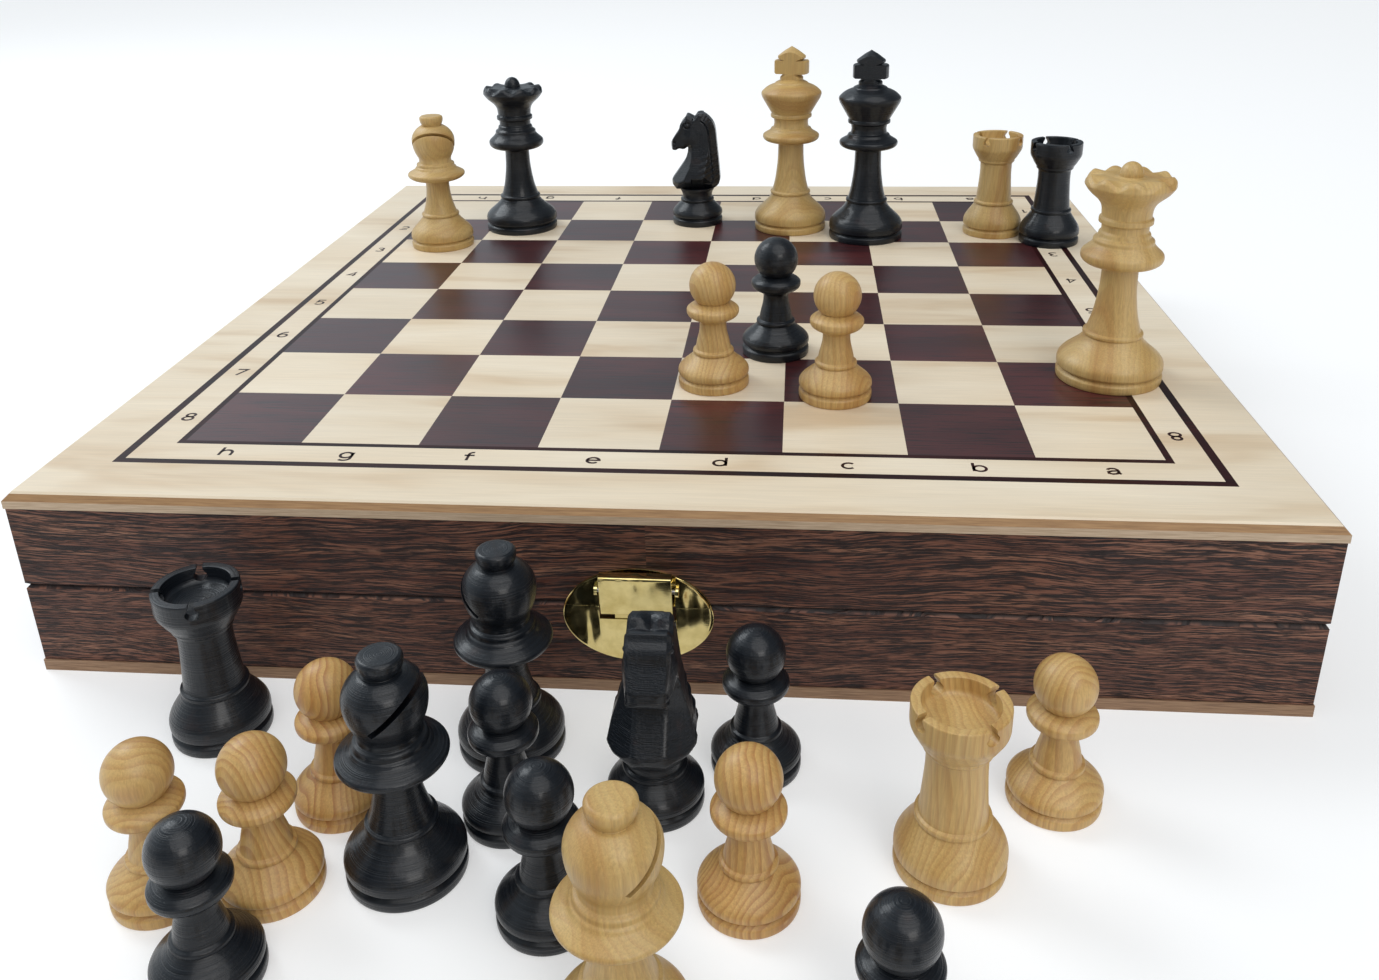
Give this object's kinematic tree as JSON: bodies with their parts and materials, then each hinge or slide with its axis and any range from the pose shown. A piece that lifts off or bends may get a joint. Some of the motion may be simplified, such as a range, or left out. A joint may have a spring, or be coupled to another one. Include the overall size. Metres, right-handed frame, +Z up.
{
  "type": "chess set with board",
  "caption": "Flat hinged wooden case with a chess board as its lid, a brass rocker catch, felt-lined trays and a full set of turned wooden chessmen standing on and in front of it.",
  "frame": {"origin": "middle of the underside of the closed case", "axes": "+X to the right along the hinge line, +Y from the catch to the hinges, +Z up"},
  "size_m": [0.4, 0.5974, 0.1588],
  "materials": {
    "walnut": "satin",
    "maple": "satin",
    "plywood": "satin",
    "wenge": "satin",
    "felt": "matte",
    "brass": "polished",
    "steel": "plain",
    "white_wood": "semi-gloss lacquer",
    "black_wood": "semi-gloss lacquer"
  },
  "bodies": {
    "base": {"bottom_board": "plywood", "base_rails": "walnut", "base_lining": "felt", "divider": "walnut", "hinge_leaves_base": "brass", "hinge_pins": "brass", "hinge_screws_base": "brass", "catch_plate_base": "brass"},
    "lid": {"lid_rails": "walnut", "board_core": "plywood", "margin_veneer": "maple", "outer_line_inlay": "wenge", "coordinate_band": "maple", "inner_line_inlay": "wenge", "light_squares": "maple", "dark_squares": "wenge", "lid_lining": "felt", "hinge_leaves_lid": "brass", "hinge_screws_lid": "brass", "catch_plate_lid": "brass", "catch_pin": "steel", "catch_spring": "steel"},
    "rocker": {"catch_rocker": "brass"},
    "white_king": {"white_king": "white_wood"},
    "white_queen": {"white_queen": "white_wood"},
    "white_bishop_1": {"white_bishop_1": "white_wood"},
    "white_rook_1": {"white_rook_1": "white_wood"},
    "white_pawn_1": {"white_pawn_1": "white_wood"},
    "white_pawn_2": {"white_pawn_2": "white_wood"},
    "black_king": {"black_king": "black_wood"},
    "black_queen": {"black_queen": "black_wood"},
    "black_knight_1": {"black_knight_1": "black_wood"},
    "black_rook_1": {"black_rook_1": "black_wood"},
    "black_pawn_1": {"black_pawn_1": "black_wood"},
    "white_bishop_2": {"white_bishop_2": "white_wood"},
    "white_knight_1": {"white_knight_1": "white_wood"},
    "white_knight_2": {"white_knight_2": "white_wood"},
    "white_rook_2": {"white_rook_2": "white_wood"},
    "white_pawn_3": {"white_pawn_3": "white_wood"},
    "white_pawn_4": {"white_pawn_4": "white_wood"},
    "white_pawn_5": {"white_pawn_5": "white_wood"},
    "white_pawn_6": {"white_pawn_6": "white_wood"},
    "white_pawn_7": {"white_pawn_7": "white_wood"},
    "white_pawn_8": {"white_pawn_8": "white_wood"},
    "black_bishop_1": {"black_bishop_1": "black_wood"},
    "black_bishop_2": {"black_bishop_2": "black_wood"},
    "black_knight_2": {"black_knight_2": "black_wood"},
    "black_rook_2": {"black_rook_2": "black_wood"},
    "black_pawn_2": {"black_pawn_2": "black_wood"},
    "black_pawn_3": {"black_pawn_3": "black_wood"},
    "black_pawn_4": {"black_pawn_4": "black_wood"},
    "black_pawn_5": {"black_pawn_5": "black_wood"},
    "black_pawn_6": {"black_pawn_6": "black_wood"},
    "black_pawn_7": {"black_pawn_7": "black_wood"},
    "black_pawn_8": {"black_pawn_8": "black_wood"}
  },
  "joints": [
    {"name": "catch_press", "type": "hinge", "parent": "lid", "child": "rocker", "pos_m": [-0.003, -0.2018, 0.0384], "axis": [-1, 0, 0], "range_deg": [0, 14], "stiffness_Nm_per_rad": 0.02},
    {"name": "lid_swing", "type": "hinge", "parent": "base", "child": "lid", "pos_m": [0, 0.1956, 0.032], "axis": [-1, 0, 0], "range_deg": [0, 95]},
    {"name": "lift_white_king", "type": "slide", "parent": "lid", "child": "white_king", "axis": [0, 0, 1], "range_m": [0, 0.1]},
    {"name": "lift_white_queen", "type": "slide", "parent": "lid", "child": "white_queen", "axis": [0, 0, 1], "range_m": [0, 0.1]},
    {"name": "lift_white_bishop_1", "type": "slide", "parent": "lid", "child": "white_bishop_1", "axis": [0, 0, 1], "range_m": [0, 0.1]},
    {"name": "lift_white_rook_1", "type": "slide", "parent": "lid", "child": "white_rook_1", "axis": [0, 0, 1], "range_m": [0, 0.1]},
    {"name": "lift_white_pawn_1", "type": "slide", "parent": "lid", "child": "white_pawn_1", "axis": [0, 0, 1], "range_m": [0, 0.1]},
    {"name": "lift_white_pawn_2", "type": "slide", "parent": "lid", "child": "white_pawn_2", "axis": [0, 0, 1], "range_m": [0, 0.1]},
    {"name": "lift_black_king", "type": "slide", "parent": "lid", "child": "black_king", "axis": [0, 0, 1], "range_m": [0, 0.1]},
    {"name": "lift_black_queen", "type": "slide", "parent": "lid", "child": "black_queen", "axis": [0, 0, 1], "range_m": [0, 0.1]},
    {"name": "lift_black_knight_1", "type": "slide", "parent": "lid", "child": "black_knight_1", "axis": [0, 0, 1], "range_m": [0, 0.1]},
    {"name": "lift_black_rook_1", "type": "slide", "parent": "lid", "child": "black_rook_1", "axis": [0, 0, 1], "range_m": [0, 0.1]},
    {"name": "lift_black_pawn_1", "type": "slide", "parent": "lid", "child": "black_pawn_1", "axis": [0, 0, 1], "range_m": [0, 0.1]},
    {"name": "lift_white_bishop_2", "type": "slide", "parent": "base", "child": "white_bishop_2", "axis": [0, 0, 1], "range_m": [0, 0.16]},
    {"name": "lift_white_knight_1", "type": "slide", "parent": "base", "child": "white_knight_1", "axis": [0, 0, 1], "range_m": [0, 0.16]},
    {"name": "lift_white_knight_2", "type": "slide", "parent": "base", "child": "white_knight_2", "axis": [0, 0, 1], "range_m": [0, 0.16]},
    {"name": "lift_white_rook_2", "type": "slide", "parent": "base", "child": "white_rook_2", "axis": [0, 0, 1], "range_m": [0, 0.16]},
    {"name": "lift_white_pawn_3", "type": "slide", "parent": "base", "child": "white_pawn_3", "axis": [0, 0, 1], "range_m": [0, 0.16]},
    {"name": "lift_white_pawn_4", "type": "slide", "parent": "base", "child": "white_pawn_4", "axis": [0, 0, 1], "range_m": [0, 0.16]},
    {"name": "lift_white_pawn_5", "type": "slide", "parent": "base", "child": "white_pawn_5", "axis": [0, 0, 1], "range_m": [0, 0.16]},
    {"name": "lift_white_pawn_6", "type": "slide", "parent": "base", "child": "white_pawn_6", "axis": [0, 0, 1], "range_m": [0, 0.16]},
    {"name": "lift_white_pawn_7", "type": "slide", "parent": "base", "child": "white_pawn_7", "axis": [0, 0, 1], "range_m": [0, 0.16]},
    {"name": "lift_white_pawn_8", "type": "slide", "parent": "base", "child": "white_pawn_8", "axis": [0, 0, 1], "range_m": [0, 0.16]},
    {"name": "lift_black_bishop_1", "type": "slide", "parent": "base", "child": "black_bishop_1", "axis": [0, 0, 1], "range_m": [0, 0.16]},
    {"name": "lift_black_bishop_2", "type": "slide", "parent": "base", "child": "black_bishop_2", "axis": [0, 0, 1], "range_m": [0, 0.16]},
    {"name": "lift_black_knight_2", "type": "slide", "parent": "base", "child": "black_knight_2", "axis": [0, 0, 1], "range_m": [0, 0.16]},
    {"name": "lift_black_rook_2", "type": "slide", "parent": "base", "child": "black_rook_2", "axis": [0, 0, 1], "range_m": [0, 0.16]},
    {"name": "lift_black_pawn_2", "type": "slide", "parent": "base", "child": "black_pawn_2", "axis": [0, 0, 1], "range_m": [0, 0.16]},
    {"name": "lift_black_pawn_3", "type": "slide", "parent": "base", "child": "black_pawn_3", "axis": [0, 0, 1], "range_m": [0, 0.16]},
    {"name": "lift_black_pawn_4", "type": "slide", "parent": "base", "child": "black_pawn_4", "axis": [0, 0, 1], "range_m": [0, 0.16]},
    {"name": "lift_black_pawn_5", "type": "slide", "parent": "base", "child": "black_pawn_5", "axis": [0, 0, 1], "range_m": [0, 0.16]},
    {"name": "lift_black_pawn_6", "type": "slide", "parent": "base", "child": "black_pawn_6", "axis": [0, 0, 1], "range_m": [0, 0.16]},
    {"name": "lift_black_pawn_7", "type": "slide", "parent": "base", "child": "black_pawn_7", "axis": [0, 0, 1], "range_m": [0, 0.16]},
    {"name": "lift_black_pawn_8", "type": "slide", "parent": "base", "child": "black_pawn_8", "axis": [0, 0, 1], "range_m": [0, 0.16]}
  ]
}
